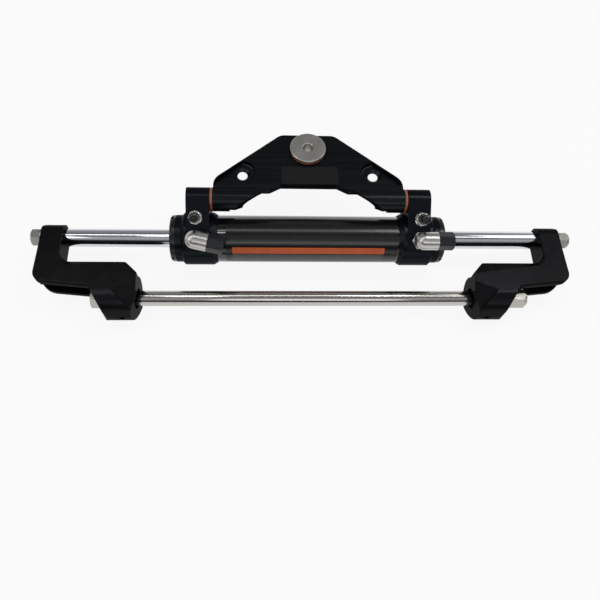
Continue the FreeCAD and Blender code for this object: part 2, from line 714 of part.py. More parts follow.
def pivotPin():
    """Headed pin through an ear into the plate's tube."""
    x0 = plateHalfLength - pinEngagement
    headX = earOuterX - pinHeadDepth
    edge = 0.8
    body = spin([(0, x0), (pinRadius - edge, x0), (pinRadius, x0 + edge), (pinRadius, headX),
                 (pinHeadRadius, headX), (pinHeadRadius, earOuterX - edge),
                 (pinHeadRadius - edge, earOuterX), (0, earOuterX)], V(0, 0, 0), X_AXIS)
    socket = hexPrism(8.0, 6.0, V(earOuterX - 4.0, 0, 0), X_AXIS)
    body = body.cut(socket)
    body.translate(V(0, pivotAxis.y, pivotAxis.z))
    return body


def pivotBush():
    """Flanged bush between an ear and the plate's tube."""
    x0 = plateHalfLength - pinEngagement + 1
    x1 = plateHalfLength
    flange = x1 + sideGap
    body = spin([(pinRadius + runFit, x0), (bushOuterRadius, x0), (bushOuterRadius, flange),
                 (bushFlangeRadius - 0.5, flange), (bushFlangeRadius, flange + 0.5),
                 (bushFlangeRadius, flange + bushFlange - 0.5),
                 (bushFlangeRadius - 0.5, flange + bushFlange), (pinRadius + runFit, flange + bushFlange)],
                V(0, pivotAxis.y, pivotAxis.z), X_AXIS)
    return body


def spoolBush(up):
    """Flanged bush in the plate's large hole, one from each face."""
    face = leafRise if up > 0 else leafRise - leafThickness
    inner = spoolSleeveRadius + runFit
    outer = inner + spoolBushWall
    depth = leafThickness / 2 - seatFit
    rim = spoolFlangeRadius - 0.4
    points = [(inner, -depth), (outer, -depth), (outer, 0), (rim - 0.5, 0), (rim, 0.5),
              (rim, spoolBushFlange - 0.5), (rim - 0.5, spoolBushFlange), (inner, spoolBushFlange)]
    return spin(points, V(0, spoolY, face), V(0, 0, up))


def spoolTop():
    """Z of the spool flange's underside above the pivot axis."""
    return leafRise + spoolBushFlange + sideGap


def spoolBottom():
    """Z of the retaining ring's upper side."""
    return leafRise - leafThickness - spoolBushFlange - sideGap


def tillerSpool():
    """Steel sleeve with a wide flange, bored for the tiller bolt."""
    top = spoolTop() + spoolFlangeThickness
    low = spoolBottom() - spoolFlangeThickness
    rim = spoolFlangeRadius
    points = [(spoolBoreRadius, low + spoolEdge), (spoolBoreRadius + spoolEdge, low),
              (spoolSleeveRadius, low), (spoolSleeveRadius, spoolTop()), (rim, spoolTop()),
              (rim, top - spoolEdge), (rim - spoolEdge, top), (spoolBoreRadius + spoolEdge, top),
              (spoolBoreRadius, top - spoolEdge)]
    return spin(points, V(0, spoolY, 0), Z_AXIS)


def spoolRetainer():
    """Steel ring that is pressed on the spool's lower end."""
    top = spoolBottom()
    low = top - spoolFlangeThickness
    rim = spoolFlangeRadius
    points = [(spoolSleeveRadius + seatFit, low), (rim - spoolEdge, low), (rim, low + spoolEdge),
              (rim, top), (spoolSleeveRadius + seatFit, top)]
    return spin(points, V(0, spoolY, 0), Z_AXIS)


def fittingBase(side):
    """Where a port's axis leaves the ear's flat face."""
    return barrelAxis + offEar * earFace + X_AXIS * (side * portX + barrelPark)


def elbowHeight():
    """Height of an elbow's outlet axis above the ear's face."""
    return jamNutHeight + elbowRadius + 0.8


def turnedOnEar(shape, side, turn):
    """Moves a piece with its stem along +Z and outlet along +X onto a port."""
    moved = shape.copy()
    moved.rotate(V(0, 0, 0), Z_AXIS, turn)
    moved.rotate(V(0, 0, 0), X_AXIS, earTilt)
    moved.translate(fittingBase(side))
    return moved


def elbow():
    """Forged right-angle fitting with a stem, a rounded back and a threaded nose."""
    h = elbowHeight()
    stemLow = boreRadius + 3 - earFace
    stem = Part.makeCylinder(elbowStemRadius, h - stemLow, V(0, 0, stemLow), Z_AXIS)
    ball = Part.makeSphere(elbowRadius, V(0, 0, h))
    arm = Part.makeCylinder(elbowRadius, elbowArm, V(0, 0, h), X_AXIS)
    nose = Part.makeCylinder(noseRadius, noseLength + 1, V(elbowArm - 1, 0, h), X_AXIS)
    shankBase = jamNutHeight + 2 * seatFit
    shank = Part.makeCylinder(elbowShankRadius, h - shankBase, V(0, 0, shankBase), Z_AXIS)
    body = ball.fuse([arm, stem, nose, shank]).removeSplitter()
    bore = Part.makeCylinder(portThroat, elbowArm + noseLength + 1, V(0, 0, h), X_AXIS)
    drop = Part.makeCylinder(portThroat, h - stemLow + 1, V(0, 0, stemLow - 1), Z_AXIS)
    return body.cut(bore).cut(drop)


def jamNut():
    """Lock nut under an elbow."""
    body = hexPrism(jamNutFlats, jamNutHeight, V(0, 0, seatFit), Z_AXIS)
    return body.cut(Part.makeCylinder(elbowStemRadius + seatFit, jamNutHeight + 2, V(0, 0, -1), Z_AXIS))


def transitCap():
    """Black hexagonal cap over an elbow's nose."""
    body = hexPrism(capFlats, capLength, V(elbowArm + seatFit, 0, elbowHeight()), X_AXIS, flatUp)
    hole = Part.makeCylinder(noseRadius + seatFit, capLength - capWall,
                             V(elbowArm, 0, elbowHeight()), X_AXIS)
    return body.cut(hole)


def bleederPlace(shape, side):
    """Moves a piece that stands along +Z onto a bleeder hole."""
    moved = shape.copy()
    moved.rotate(V(0, 0, 0), X_AXIS, earTilt)
    moved.translate(fittingBase(side) + alongEar * bleederReach)
    return moved


def bleeder():
    """Bleed valve: threaded shank, collar, hexagon and nipple."""
    hexBase = sideGap + bleederCollar
    hexTop = hexBase + bleederHexHeight
    tip = hexTop + bleederNeckLength
    r = bleederNeckRadius
    shank = bleederHoleRadius - runFit
    turned = spin([(0, -9.5), (shank - 1.5, -9.5), (shank, -7.5), (shank, sideGap),
                   (bleederCollarRadius, sideGap), (bleederCollarRadius, hexBase), (r, hexBase),
                   (r, tip - 3.2), (r + 0.8, tip - 2.2), (r - 0.9, tip), (0, tip)], V(0, 0, 0), Z_AXIS)
    return turned.fuse(hexPrism(bleederFlats, bleederHexHeight, V(0, 0, hexBase), Z_AXIS))


def bleederCap():
    """Soft cap pushed over a bleeder's nipple."""
    base = sideGap + bleederCollar + bleederHexHeight + seatFit
    top = base + bleederCapLength
    r = bleederCapRadius
    hole = bleederNeckRadius + 0.9
    points = [(hole, base), (r + 0.5, base), (r + 0.5, base + 2.2), (r, base + 2.8), (r, top - 2.6),
              (r * 0.8, top - 0.8), (r * 0.42, top), (0, top), (0, top - bleederCapWall),
              (hole, top - bleederCapWall)]
    return spin(points, V(0, 0, 0), Z_AXIS)


# End brackets
leftStack = washerThickness + thinNutHeight + 1.2
rightStack = washerThickness + tallNutHeight + 1.2
save("bracket_right", bracket(rightStack))
save("bracket_left", mirrored(bracket(leftStack)))

# Support rod with its washers and nuts
leftNutX = nutSeatX + washerThickness
supportHalf = bossInnerX + rodShoulderDepth - seatFit
supportRod = rodX(supportRodRadius, -supportHalf, supportHalf)
leftStud = leftNutX + thinNutHeight + 1.0
rightStud = leftNutX + tallNutHeight - 2.0
supportRod = supportRod.fuse([rodX(studRadius, -leftStud, -supportHalf),
                              rodX(studRadius, supportHalf, rightStud)])
save("support_rod", supportRod)
save("support_rod_washers", group([placedOnX(washer(), nutSeatX, side) for side in (-1, 1)]))
save("support_rod_nut_left", placedOnX(domedNut(nutFlats, thinNutHeight, 0), leftNutX, -1))
tallNut = domedNut(nutFlats, tallNutHeight - nutDomeHeight, nutDomeHeight)
save("support_rod_nut_right", placedOnX(tallNut, leftNutX, 1))

# Piston rod with its washers and nuts
pistonHalf = legInnerX + rodShoulderDepth - seatFit
studReach = legOuterX + washerThickness + rodNutHeight + leftDomeHeight - 0.5
pistonRod = steppedRod(pistonRodRadius, pistonHalf, studReach)
pistonRod.translate(V(0, rodSpacing, pistonZ))
retainerDepth = 1.2
for x0, x1 in pistonRetainers():
    pistonRod = pistonRod.cut(ringX(pistonRodRadius + 1, pistonRodRadius - retainerDepth, x0, x1, barrelAxis))
save("piston_rod", pistonRod)
rodNutX = legOuterX + washerThickness
save("piston_rod_washers", group([placedOnX(washer(), legOuterX, side, rodSpacing, pistonZ)
                                  for side in (-1, 1)]))
for side, word, dome in ((-1, "left", leftDomeHeight), (1, "right", nutDomeHeight)):
    rodNut = domedNut(rodNutFlats, rodNutHeight, dome)
    save("piston_rod_nut_" + word, placedOnX(rodNut, rodNutX, side, rodSpacing, pistonZ))

# Piston on the fixed rod
pistonBody = piston()
retainers = []
for x0, x1 in pistonRetainers():
    outer = pistonRodRadius + retainerRise
    pistonBody = pistonBody.cut(ringX(outer + seatFit, pistonRodRadius, x0 - seatFit, x1 + seatFit, barrelAxis))
    retainers.append(ringX(outer, pistonRodRadius - retainerDepth + seatFit, x0 + seatFit,
                           x1 - seatFit, barrelAxis))
save("piston", pistonBody)
save("piston_retaining_rings", group(retainers))
save("piston_seals", group([pistonSeal(0), pistonSeal(1)]))

# Barrel, end blocks, glands and seals
save("barrel_tube", onBarrel(barrelTube()))
bothEnds("end_block", endBlock)
bothEnds("gland_nut", glandNut)
bothEnds("rod_seal", rodSeal)
bothEnds("rod_wiper", rodWiper)
bothEnds("gland_o_ring", glandORing)

# Hinge of the tiller plate
bothEnds("pivot_pin", pivotPin)
bothEnds("pivot_bush", pivotBush)
save("tiller_plate", onPlate(tillerPlate()))

# Tiller spool
save("spool_bush_upper", onPlate(spoolBush(1)))
save("spool_bush_lower", onPlate(spoolBush(-1)))
save("tiller_spool", onPlate(tillerSpool()))
save("spool_retainer", onPlate(spoolRetainer()))

# Fittings on the ears
for side, word, turn in ((-1, "left", elbowLeftTurn), (1, "right", elbowRightTurn)):
    save("elbow_" + word, turnedOnEar(elbow(), side, turn))
    save("elbow_lock_nut_" + word, turnedOnEar(jamNut(), side, turn))
    save("transit_cap_" + word, turnedOnEar(transitCap(), side, turn))
    save("bleeder_" + word, bleederPlace(bleeder(), side))
    save("bleeder_cap_" + word, bleederPlace(bleederCap(), side))
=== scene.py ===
import json
import math

import bpy
import bmesh
import numpy as np
from mathutils import Matrix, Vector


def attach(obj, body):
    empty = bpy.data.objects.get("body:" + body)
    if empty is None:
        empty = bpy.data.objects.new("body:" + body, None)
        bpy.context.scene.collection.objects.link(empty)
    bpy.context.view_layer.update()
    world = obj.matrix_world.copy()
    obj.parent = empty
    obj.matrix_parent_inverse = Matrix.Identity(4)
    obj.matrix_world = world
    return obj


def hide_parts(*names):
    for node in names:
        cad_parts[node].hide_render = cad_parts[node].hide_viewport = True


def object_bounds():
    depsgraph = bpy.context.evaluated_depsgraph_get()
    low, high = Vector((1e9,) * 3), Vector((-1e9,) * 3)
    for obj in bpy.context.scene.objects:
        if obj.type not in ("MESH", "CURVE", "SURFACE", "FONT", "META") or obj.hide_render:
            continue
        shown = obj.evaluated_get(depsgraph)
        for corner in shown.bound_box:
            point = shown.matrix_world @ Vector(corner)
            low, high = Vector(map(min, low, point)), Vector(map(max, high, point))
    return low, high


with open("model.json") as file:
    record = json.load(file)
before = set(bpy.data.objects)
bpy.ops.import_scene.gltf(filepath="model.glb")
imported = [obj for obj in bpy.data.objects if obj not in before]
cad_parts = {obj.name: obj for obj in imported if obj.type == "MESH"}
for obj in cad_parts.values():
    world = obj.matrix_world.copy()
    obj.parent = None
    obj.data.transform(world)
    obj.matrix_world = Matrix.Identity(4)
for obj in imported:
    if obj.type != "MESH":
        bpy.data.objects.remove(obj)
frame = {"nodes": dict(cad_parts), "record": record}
nodes = frame["nodes"]
mm = 0.001
cadLow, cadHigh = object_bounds()
slotOf = {p["node"]: p["material_slot"] for p in frame["record"]["subparts"]}
bodyOf = {n: b for b, group in frame["record"]["behaviour"]["bodies"].items() for n in group}
print("frame loaded,", len(nodes), "nodes")


# Shader building blocks

def link(tree, a, b):
    # joins an output to an input
    tree.links.new(a, b)


def addNode(tree, kind, **values):
    # one shader node; values are its properties or the defaults of its sockets
    n = tree.nodes.new(kind)
    for key, value in values.items():
        if key in n.inputs:
            n.inputs[key].default_value = value
        else:
            setattr(n, key, value)
    return n


def newGroup(name, inputs, outputs):
    # a node group with named sockets; gives back the group and its input and output nodes
    g = bpy.data.node_groups.new(name, "ShaderNodeTree")
    for label, kind, value in inputs:
        s = g.interface.new_socket(name=label, in_out="INPUT", socket_type=kind)
        if value is not None:
            s.default_value = value
    for label, kind in outputs:
        g.interface.new_socket(name=label, in_out="OUTPUT", socket_type=kind)
    return g, g.nodes.new("NodeGroupInput"), g.nodes.new("NodeGroupOutput")


def math2(tree, how, a, b, clamp=False):
    # one sum on two values, each a number, an output or None
    n = tree.nodes.new("ShaderNodeMath")
    n.operation = how
    n.use_clamp = clamp
    for i, x in enumerate((a, b)):
        if x is None:
            continue
        if isinstance(x, (int, float)):
            n.inputs[i].default_value = x
        else:
            tree.links.new(x, n.inputs[i])
    return n.outputs[0]


def makeGrainGroup():
    # cloudy variation: two sizes of noise added, with a contrast
    g, gin, gout = newGroup("surfaceGrain", [("Vector", "NodeSocketVector", None),
                                             ("Scale", "NodeSocketFloat", 200.0),
                                             ("Contrast", "NodeSocketFloat", 2.0)],
                            [("Mask", "NodeSocketFloat")])
    a = addNode(g, "ShaderNodeTexNoise", Detail=4.0, Roughness=0.6)
    b = addNode(g, "ShaderNodeTexNoise", Detail=2.0)
    link(g, gin.outputs["Vector"], a.inputs["Vector"])
    link(g, gin.outputs["Vector"], b.inputs["Vector"])
    link(g, gin.outputs["Scale"], a.inputs["Scale"])
    link(g, math2(g, "MULTIPLY", gin.outputs["Scale"], 0.17), b.inputs["Scale"])
    fine = math2(g, "MULTIPLY", a.outputs[0], 0.6)
    coarse = math2(g, "MULTIPLY", b.outputs[0], 0.4)
    both = math2(g, "ADD", fine, coarse)
    centred = math2(g, "MULTIPLY", math2(g, "SUBTRACT", both, 0.5), gin.outputs["Contrast"])
    link(g, math2(g, "ADD", centred, 0.5, True), gout.inputs["Mask"])
    return g


def makeStreakGroup():
    # long thin lines along one axis: noise on coordinates that are squeezed along that axis
    g, gin, gout = newGroup("longStreaks", [("Vector", "NodeSocketVector", None),
                                            ("Squeeze", "NodeSocketVector", (0.02, 1.0, 1.0)),
                                            ("Scale", "NodeSocketFloat", 900.0),
                                            ("Contrast", "NodeSocketFloat", 2.0)],
                            [("Mask", "NodeSocketFloat")])
    squeeze = g.nodes.new("ShaderNodeVectorMath")
    squeeze.operation = "MULTIPLY"
    link(g, gin.outputs["Vector"], squeeze.inputs[0])
    link(g, gin.outputs["Squeeze"], squeeze.inputs[1])
    total = None
    for share, factor in ((0.5, 1.0), (0.3, 0.35), (0.2, 0.1)):
        n = addNode(g, "ShaderNodeTexNoise", Detail=3.0, Roughness=0.65)
        link(g, squeeze.outputs[0], n.inputs["Vector"])
        link(g, math2(g, "MULTIPLY", gin.outputs["Scale"], factor), n.inputs["Scale"])
        part = math2(g, "MULTIPLY", n.outputs[0], share)
        total = part if total is None else math2(g, "ADD", total, part)
    centred = math2(g, "MULTIPLY", math2(g, "SUBTRACT", total, 0.5), gin.outputs["Contrast"])
    link(g, math2(g, "ADD", centred, 0.5, True), gout.inputs["Mask"])
    return g


def makeMarksGroup():
    # sparse handling marks: the few highest spots of a stretched noise
    g, gin, gout = newGroup("handlingMarks", [("Vector", "NodeSocketVector", None),
                                              ("Scale", "NodeSocketFloat", 60.0),
                                              ("Amount", "NodeSocketFloat", 0.35)],
                            [("Mask", "NodeSocketFloat")])
    n = addNode(g, "ShaderNodeTexNoise", Detail=6.0, Roughness=0.7, Distortion=0.6)
    link(g, gin.outputs["Vector"], n.inputs["Vector"])
    link(g, gin.outputs["Scale"], n.inputs["Scale"])
    threshold = math2(g, "SUBTRACT", 0.86, math2(g, "MULTIPLY", gin.outputs["Amount"], 0.5))
    edge = math2(g, "SUBTRACT", n.outputs[0], threshold)
    link(g, math2(g, "MULTIPLY", edge, 6.0, True), gout.inputs["Mask"])
    return g


grainGroup = makeGrainGroup()
streakGroup = makeStreakGroup()
marksGroup = makeMarksGroup()


def useGroup(tree, group, vector, **values):
    # places a group with its own values and gives back its mask
    n = tree.nodes.new("ShaderNodeGroup")
    n.node_tree = group
    link(tree, vector, n.inputs["Vector"])
    for key, value in values.items():
        n.inputs[key].default_value = value
    return n.outputs["Mask"]


def mixColour(tree, mask, dark, light):
    # dark where the mask is 0 and light where it is 1
    n = tree.nodes.new("ShaderNodeMix")
    n.data_type = "RGBA"
    link(tree, mask, n.inputs[0])
    for i, x in ((6, dark), (7, light)):
        if isinstance(x, tuple):
            n.inputs[i].default_value = (*x, 1.0)
        else:
            link(tree, x, n.inputs[i])
    return n.outputs[2]


def mixValue(tree, mask, low, high):
    # low where the mask is 0 and high where it is 1
    n = tree.nodes.new("ShaderNodeMapRange")
    link(tree, mask, n.inputs[0])
    n.inputs[3].default_value = low
    n.inputs[4].default_value = high
    return n.outputs[0]


def startMaterial(name, finish):
    # a material with one Principled BSDF that has the finish's constant values
    m = bpy.data.materials.new(name)
    m.use_nodes = True
    t = m.node_tree
    t.nodes.clear()
    out = t.nodes.new("ShaderNodeOutputMaterial")
    p = t.nodes.new("ShaderNodeBsdfPrincipled")
    link(t, p.outputs[0], out.inputs[0])
    p.inputs["Metallic"].default_value = finish.get("metallic", 0.0)
    p.inputs["Specular IOR Level"].default_value = finish.get("specular", 0.5)
    p.inputs["Specular Tint"].default_value = (*finish.get("edgeTint", (1.0, 1.0, 1.0)), 1.0)
    p.inputs["Coat Weight"].default_value = finish.get("coat", 0.0)
    p.inputs["Coat Roughness"].default_value = finish.get("coatRoughness", 0.05)
    where = t.nodes.new("ShaderNodeTexCoord").outputs["Object"]
    return m, t, p, where


def addBump(t, p, height, strength, depth):
    # the height, in metres of depth, bends the shading normal
    b = t.nodes.new("ShaderNodeBump")
    b.inputs["Strength"].default_value = strength
    b.inputs["Distance"].default_value = depth
    link(t, height, b.inputs["Height"])
    link(t, b.outputs[0], p.inputs["Normal"])


def makeFinish(name, finish):
    # colour and roughness vary with one main mask, and marks change the roughness here and there
    m, t, p, where = startMaterial(name, finish)
    if "squeeze" in finish:
        main = useGroup(t, streakGroup, where, Squeeze=finish["squeeze"], Scale=finish["scale"],
                        Contrast=finish.get("contrast", 2.0))
    else:
        main = useGroup(t, grainGroup, where, Scale=finish["scale"], Contrast=finish.get("contrast", 2.0))
    marks = useGroup(t, marksGroup, where, Scale=finish.get("markScale", 70.0),
                     Amount=finish.get("marks", 0.3))
    base = mixColour(t, main, finish["dark"], finish["light"])
    worn = mixColour(t, math2(t, "MULTIPLY", marks, finish.get("markColour", 0.25)), base,
                     finish.get("worn", finish["light"]))
    link(t, worn, p.inputs["Base Color"])
    low, high = finish["roughness"]
    smudge = math2(t, "MULTIPLY", marks, finish.get("markRough", 0.08))
    link(t, math2(t, "ADD", mixValue(t, main, low, high), smudge, True), p.inputs["Roughness"])
    height = main  # a streaked finish has its relief in the streaks, and the others have a fine grain
    if "squeeze" not in finish:
        height = useGroup(t, grainGroup, where, Scale=finish.get("bumpScale", 2600.0), Contrast=1.5)
    addBump(t, p, height, finish["bump"], finish["bumpDepth"] * mm)
    return m


# dark and light are the ends of the colour, scale is in spots per metre and bumpDepth in millimetres
finishes = {
    "bracket_black": dict(dark=(0.0090, 0.0094, 0.0104), light=(0.0170, 0.0172, 0.0178), scale=90,
                          contrast=1.6, metallic=0.8, edgeTint=(0.22, 0.23, 0.24),
                          roughness=(0.26, 0.35), bump=0.25, bumpDepth=0.02, marks=0.4, markRough=0.10,
                          worn=(0.030, 0.030, 0.030)),
    "block_black": dict(dark=(0.0080, 0.0096, 0.0125), light=(0.0150, 0.0175, 0.0215), scale=80,
                        contrast=1.5, metallic=0.8, edgeTint=(0.20, 0.23, 0.27), roughness=(0.24, 0.33),
                        bump=0.20, bumpDepth=0.02, marks=0.3, markRough=0.08),
    "plate_black": dict(dark=(0.0090, 0.0108, 0.0125), light=(0.0250, 0.0285, 0.0315), scale=620,
                        contrast=2.6, squeeze=(0.012, 1.0, 1.0), metallic=0.85,
                        edgeTint=(0.28, 0.31, 0.34), roughness=(0.24, 0.38), bump=0.30, bumpDepth=0.012,
                        marks=0.4, markRough=0.08, worn=(0.050, 0.054, 0.058)),
    "barrel_black": dict(dark=(0.0030, 0.0032, 0.0036), light=(0.0048, 0.0050, 0.0054), scale=60,
                         contrast=1.2, roughness=(0.10, 0.14), specular=0.5, bump=0.04, bumpDepth=0.02,
                         bumpScale=420, marks=0.15, markRough=0.05, coat=0.4),
    "gland_black": dict(dark=(0.0034, 0.0036, 0.0040), light=(0.0066, 0.0068, 0.0072), scale=300,
                        contrast=2.0, squeeze=(1.0, 0.05, 0.05), roughness=(0.22, 0.32), specular=0.4,
                        bump=0.15, bumpDepth=0.01),
    "pin_black": dict(dark=(0.008, 0.008, 0.009), light=(0.016, 0.015, 0.014), scale=160, contrast=1.8,
                      roughness=(0.30, 0.42), metallic=0.4, bump=0.1, bumpDepth=0.01),
    "support_steel": dict(dark=(0.46, 0.44, 0.41), light=(0.60, 0.58, 0.55), scale=520, contrast=1.8,
                          squeeze=(0.01, 1.0, 1.0), roughness=(0.12, 0.22), metallic=1.0, bump=0.12,
                          bumpDepth=0.006, marks=0.35, markRough=0.06, worn=(0.40, 0.38, 0.36)),
    "rod_chrome": dict(dark=(0.62, 0.635, 0.66), light=(0.70, 0.715, 0.74), scale=700, contrast=1.4,
                       squeeze=(1.0, 0.03, 0.03), roughness=(0.07, 0.12), metallic=1.0, bump=0.03,
                       bumpDepth=0.003, marks=0.2, markRough=0.04),
    "fastener_steel": dict(dark=(0.30, 0.29, 0.27), light=(0.46, 0.45, 0.42), scale=260, contrast=2.0,
                           roughness=(0.24, 0.38), metallic=1.0, bump=0.15, bumpDepth=0.012, marks=0.5),
    "nut_steel": dict(dark=(0.44, 0.42, 0.38), light=(0.62, 0.60, 0.55), scale=420, contrast=1.8,
                      squeeze=(0.05, 1.0, 1.0), roughness=(0.22, 0.36), metallic=1.0, bump=0.15,
                      bumpDepth=0.010, marks=0.4),
    "piston_aluminium": dict(dark=(0.50, 0.51, 0.52), light=(0.66, 0.67, 0.68), scale=400,
                             roughness=(0.25, 0.35), metallic=1.0, bump=0.1, bumpDepth=0.01),
    "elbow_steel": dict(dark=(0.42, 0.41, 0.385), light=(0.66, 0.645, 0.61), scale=900, contrast=2.6,
                        squeeze=(0.04, 1.0, 1.0), roughness=(0.24, 0.38), metallic=1.0, bump=0.35,
                        bumpDepth=0.012, marks=0.4),
    "spool_steel": dict(dark=(0.36, 0.35, 0.32), light=(0.50, 0.485, 0.45), scale=520, contrast=2.2,
                        roughness=(0.34, 0.46), metallic=1.0, bump=0.25, bumpDepth=0.008, marks=0.4),
    "bleeder_steel": dict(dark=(0.52, 0.51, 0.47), light=(0.72, 0.70, 0.66), scale=300,
                          roughness=(0.20, 0.28), metallic=1.0, bump=0.06, bumpDepth=0.006),
    "bush_copper": dict(dark=(0.27, 0.072, 0.030), light=(0.42, 0.135, 0.066), scale=500, contrast=2.0,
                        roughness=(0.42, 0.55), bump=0.25, bumpDepth=0.02, marks=0.4,
                        worn=(0.48, 0.24, 0.15)),
    "seal_rubber": dict(dark=(0.008, 0.008, 0.008), light=(0.016, 0.016, 0.016), scale=400,
                        roughness=(0.5, 0.65), bump=0.2, bumpDepth=0.02),
    "cap_black": dict(dark=(0.0042, 0.0050, 0.0062), light=(0.0085, 0.0095, 0.0110), scale=220,
                      contrast=1.6, roughness=(0.30, 0.42), specular=0.4, bump=0.25, bumpDepth=0.02,
                      marks=0.3),
    "bleeder_rubber": dict(dark=(0.0035, 0.0037, 0.0042), light=(0.0070, 0.0072, 0.0080), scale=260,
                           roughness=(0.14, 0.24), bump=0.20, bumpDepth=0.015),
}
films = {
    "film_black": dict(dark=(0.0034, 0.0036, 0.0040), light=(0.0055, 0.0058, 0.0062), scale=140,
                       contrast=1.4, roughness=(0.20, 0.26), bump=0.06, bumpDepth=0.01, marks=0.3),
    "film_orange": dict(dark=(0.52, 0.085, 0.018), light=(0.66, 0.125, 0.030), scale=120, contrast=1.4,
                        roughness=(0.32, 0.42), bump=0.06, bumpDepth=0.01, marks=0.3,
                        worn=(0.62, 0.16, 0.06)),
    "film_grey": dict(dark=(0.052, 0.050, 0.048), light=(0.105, 0.102, 0.098), scale=420, contrast=2.2,
                      roughness=(0.32, 0.42), bump=0.06, bumpDepth=0.01, marks=0.3),
}
materials = {slot: makeFinish(slot, finish) for slot, finish in finishes.items()}
filmMaterials = {name: makeFinish(name, finish) for name, finish in films.items()}
for name, node in nodes.items():
    node.data.materials.clear()
    node.data.materials.append(materials[slotOf[name]])
print("finishes ready:", len(materials))


# Pieces that are finished from their CAD solids: merged, smooth, with rounded edges

dressing = dict(weld=0.002, flat=0.4, segments=2, angle=20.0, faceWeight=80)  # millimetres and degrees


def dress(name, edge, angle):
    # copy of a CAD node with its seams merged, flat faces joined and its sharp edges rounded
    data = nodes[name].data.copy()
    bm = bmesh.new()
    bm.from_mesh(data)
    bmesh.ops.remove_doubles(bm, verts=bm.verts, dist=dressing["weld"] * mm)
    bmesh.ops.dissolve_limit(bm, angle_limit=math.radians(dressing["flat"]), verts=bm.verts, edges=bm.edges,
                             delimit={"SEAM"})
    for f in bm.faces:
        f.smooth = True
    bm.to_mesh(data)
    bm.free()
    obj = bpy.data.objects.new(name + ".dressed", data)
    bpy.context.scene.collection.objects.link(obj)
    data.materials.clear()
    data.materials.append(materials[slotOf[name]])
    b = obj.modifiers.new("edges", "BEVEL")
    b.width = edge * mm
    b.segments = dressing["segments"]
    b.limit_method = "ANGLE"
    b.angle_limit = math.radians(angle)
    b.use_clamp_overlap = True
    w = obj.modifiers.new("normals", "WEIGHTED_NORMAL")
    w.weight = dressing["faceWeight"]
    w.keep_sharp = True
    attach(obj, bodyOf[name])
    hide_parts(name)


# bevel widths in millimetres
roundedEdges = {
    "bracket_left": 0.6, "bracket_right": 0.6, "tiller_plate": 0.5, "end_block_left": 0.5,
    "end_block_right": 0.5, "gland_nut_left": 0.25, "gland_nut_right": 0.25, "support_rod_nut_left": 0.25,
    "support_rod_nut_right": 0.25, "piston_rod_nut_left": 0.25, "piston_rod_nut_right": 0.25,
    "elbow_lock_nut_left": 0.2, "elbow_lock_nut_right": 0.2, "transit_cap_left": 0.7,
    "transit_cap_right": 0.7, "bleeder_left": 0.2, "bleeder_right": 0.2, "bleeder_cap_left": 0.3,
    "bleeder_cap_right": 0.3, "elbow_left": 0.3, "elbow_right": 0.3, "tiller_spool": 0.25,
    "spool_retainer": 0.25, "spool_bush_upper": 0.2, "spool_bush_lower": 0.2, "pivot_bush_left": 0.2,
    "pivot_bush_right": 0.2, "pivot_pin_left": 0.25, "pivot_pin_right": 0.25,
}
lowAngles = {"bracket_left": 11.0, "bracket_right": 11.0, "tiller_plate": 11.0}  # they have blunt edges too
for name, edge in roundedEdges.items():
    dress(name, edge, lowAngles.get(name, dressing["angle"]))
print("dressed", len(roundedEdges), "CAD pieces")


# Turned pieces along X, swept from an outline with many sides for clean reflections

def gridFaces(rows, cols, closeRows, closeCols):
    # quads between neighbouring points of a grid that is stored row by row
    i = np.arange(rows if closeRows else rows - 1)
    j = np.arange(cols if closeCols else cols - 1)
    a, b = np.meshgrid(i, j, indexing="ij")
    c, d = (a + 1) % rows, (b + 1) % cols
    return np.stack([a * cols + b, a * cols + d, c * cols + d, c * cols + b], axis=-1).reshape(-1, 4)


def meshFrom(name, points, faces, material, sharp=35.0):
    # a smooth mesh object whose edges stay sharp where its faces meet at more than the sharp angle
    data = bpy.data.meshes.new(name)
    data.from_pydata(points.tolist(), [], faces.tolist())
    data.materials.append(material)
    data.polygons.foreach_set("use_smooth", np.ones(len(data.polygons), dtype=bool))
    data.set_sharp_from_angle(angle=math.radians(sharp))
    obj = bpy.data.objects.new(name, data)
    bpy.context.scene.collection.objects.link(obj)
    return obj


longestCut = 0.4    # share of an edge that a rounded corner may take
cornerShare = 0.4   # weight of the old corner in the middle point of the new one


def roundOutline(outline, size):
    # each corner of a closed outline becomes three points: one before it, one after it and one between
    p = np.array(outline, dtype=float)
    before, after = np.roll(p, 1, axis=0) - p, np.roll(p, -1, axis=0) - p
    lengthBefore = np.linalg.norm(before, axis=1, keepdims=True)
    lengthAfter = np.linalg.norm(after, axis=1, keepdims=True)
    first = p + before * np.minimum(size / lengthBefore, longestCut)
    second = p + after * np.minimum(size / lengthAfter, longestCut)
    middle = p * cornerShare + (first + second) * (1 - cornerShare) / 2
    return np.stack([first, middle, second], axis=1).reshape(-1, 2)


def turned(name, outline, centre, corner, sides=160):
    # points at (x, radius) of the outline, carried around the axis: y = r sin a, z = r cos a
    ring = roundOutline(outline, corner)
    a = np.arange(sides) * 2 * math.pi / sides
    x = np.repeat(ring[:, :1], sides, axis=1)
    y = centre[1] + ring[:, 1:] * np.sin(a)
    z = centre[2] + ring[:, 1:] * np.cos(a)
    points = np.stack([x + centre[0], y, z], axis=-1).reshape(-1, 3) * mm
    faces = gridFaces(len(ring), sides, True, True)
    obj = meshFrom(name + ".turned", points, faces, materials[slotOf[name]])
    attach(obj, bodyOf[name])
    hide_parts(name)


centreHole = dict(radius=1.6, depth=2.0, tip=0.05)


